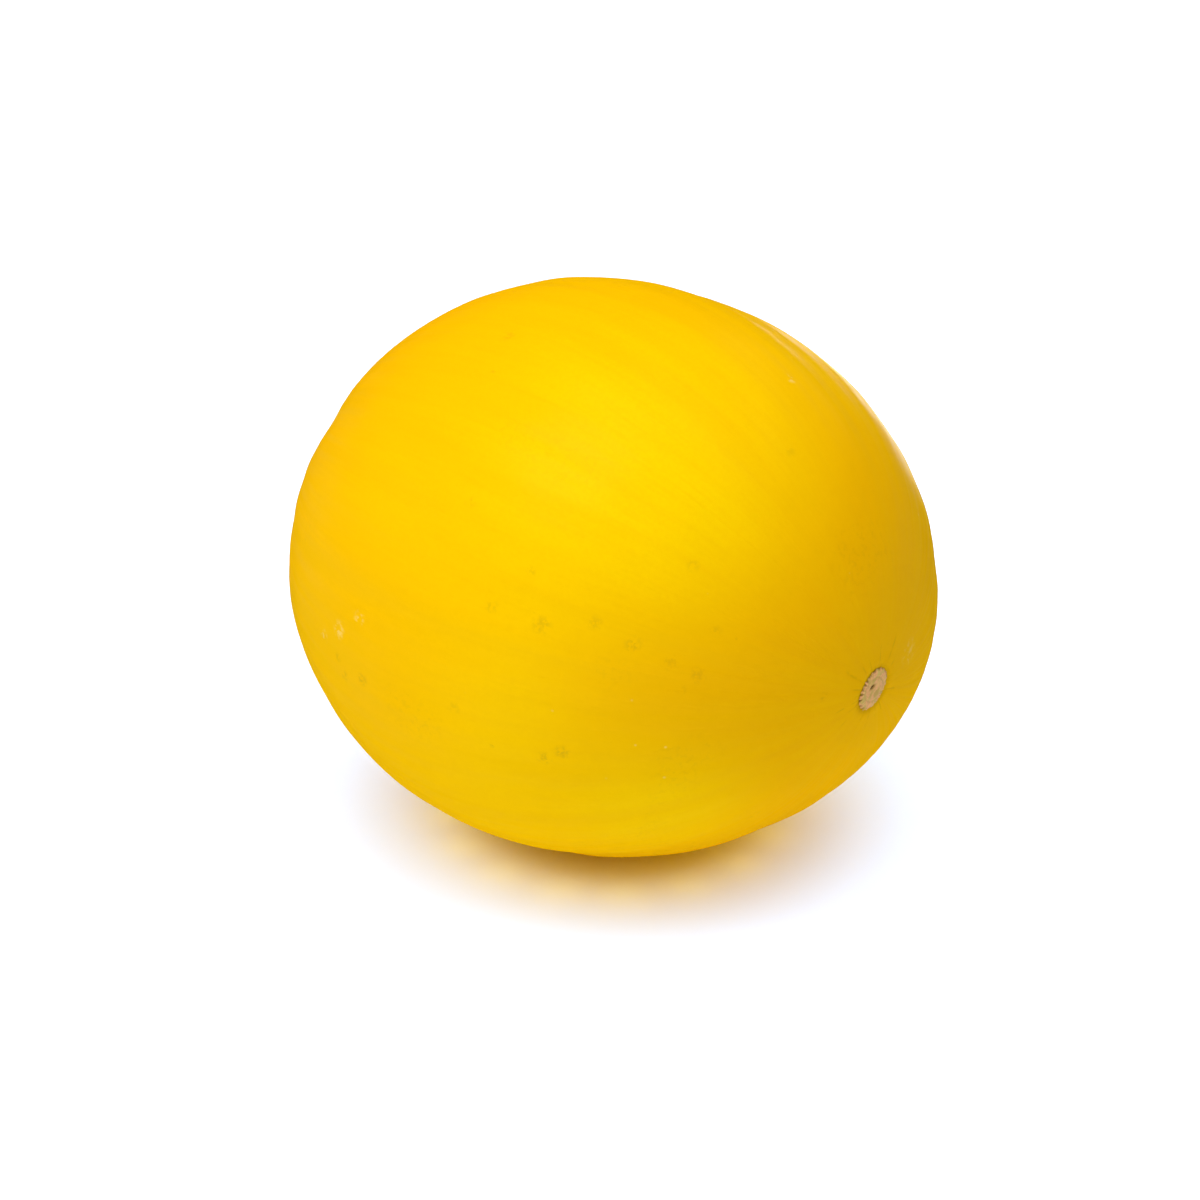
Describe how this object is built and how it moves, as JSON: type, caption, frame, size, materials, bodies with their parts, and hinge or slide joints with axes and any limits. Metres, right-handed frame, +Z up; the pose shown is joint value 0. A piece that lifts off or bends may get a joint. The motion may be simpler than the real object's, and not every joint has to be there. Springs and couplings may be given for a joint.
{
  "type": "canary melon",
  "caption": "Whole canary melon lying on its side: a plump oval yellow fruit with a corky blossom scar at one end and the short stub of its stalk at the other.",
  "frame": {"origin": "on the ground, below the middle of the part's box", "axes": "+X along the fruit towards the blossom end, +Z up from the flat spot it rests on, +Y to the left when looking along +X"},
  "size_m": [0.1812, 0.1596, 0.1506],
  "materials": {
    "rind": "satin, waxy rind, a strong warm yellow with fine pores, faint flecks and a tan corky blossom scar",
    "stem": "dry, dull, ribbed stalk, brownish green to tan"
  },
  "bodies": {
    "root": {"fruit": "rind", "stem_stub": "stem"}
  },
  "joints": []
}
